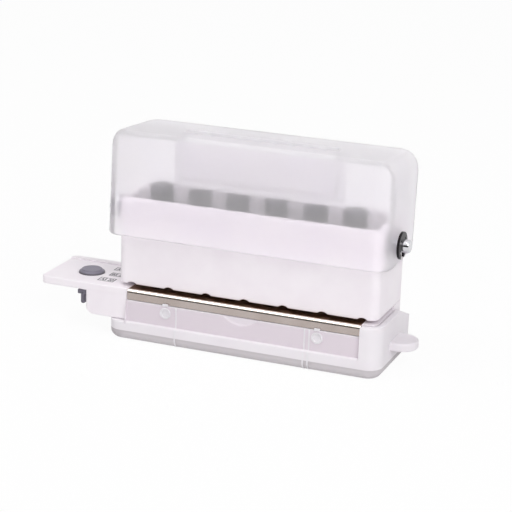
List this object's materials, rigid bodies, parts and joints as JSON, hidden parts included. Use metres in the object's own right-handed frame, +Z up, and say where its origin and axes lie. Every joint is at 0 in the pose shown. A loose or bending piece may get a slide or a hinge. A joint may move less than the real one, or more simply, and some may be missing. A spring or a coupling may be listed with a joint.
{
  "type": "six-hole punch",
  "caption": "Compact desk punch for loose-leaf paper: a frosted press handle drives a row of pins through a steel die, over a pull-off chip tray, with a sliding side gauge.",
  "frame": {"origin": "middle of the chip tray's underside, on the table", "axes": "+X along the row of pins towards the pull tab, -Y towards the paper side, +Z up"},
  "size_m": [0.0909, 0.0246, 0.0499],
  "materials": {
    "white_plastic": "satin",
    "frosted_plastic": "frosted, clear",
    "milky_plastic": "frosted, milky",
    "grey_plastic": "satin",
    "nickel_steel": "nickel plated",
    "dark_steel": "hardened",
    "bright_steel": "bright",
    "black_steel": "phosphated"
  },
  "bodies": {
    "frame": {"base_frame": "white_plastic", "die_plate": "nickel_steel", "housing": "white_plastic", "guide_plate": "nickel_steel", "frame_screws": "bright_steel", "return_spring_1": "bright_steel", "return_spring_2": "bright_steel", "return_spring_3": "bright_steel", "return_spring_4": "bright_steel", "return_spring_5": "bright_steel", "return_spring_6": "bright_steel"},
    "press": {"punch_pin_1": "dark_steel", "punch_pin_2": "dark_steel", "punch_pin_3": "dark_steel", "punch_pin_4": "dark_steel", "punch_pin_5": "dark_steel", "punch_pin_6": "dark_steel", "pin_rings": "bright_steel", "press_shaft": "bright_steel", "left_clip": "bright_steel", "right_clip": "black_steel"},
    "handle": {"handle_cover": "frosted_plastic"},
    "gauge": {"gauge_arm": "white_plastic", "button_spring": "bright_steel"},
    "button": {"gauge_button": "grey_plastic"},
    "tray": {"chip_tray": "milky_plastic"}
  },
  "joints": [
    {"name": "press", "type": "slide", "parent": "frame", "child": "press", "axis": [0, 0, -1], "range_m": [0, 0.0027], "stiffness_N_per_m": 4800, "springref_m": -0.004, "deforming": ["return_spring_1", "return_spring_2", "return_spring_3", "return_spring_4", "return_spring_5", "return_spring_6"]},
    {"name": "cover_rock", "type": "hinge", "parent": "press", "child": "handle", "pos_m": [0, -0.003, 0.0298], "axis": [1, 0, 0], "range_deg": [0, 4]},
    {"name": "gauge_slide", "type": "slide", "parent": "frame", "child": "gauge", "axis": [-1, 0, 0], "range_m": [0, 0.0095]},
    {"name": "button_press", "type": "slide", "parent": "gauge", "child": "button", "axis": [0, 0, -1], "range_m": [0, 0.0005], "stiffness_N_per_m": 400, "springref_m": -0.0005, "deforming": ["button_spring"]},
    {"name": "tray_release", "type": "slide", "parent": "frame", "child": "tray", "axis": [0, 0, -1], "range_m": [0, 0.012]}
  ]
}
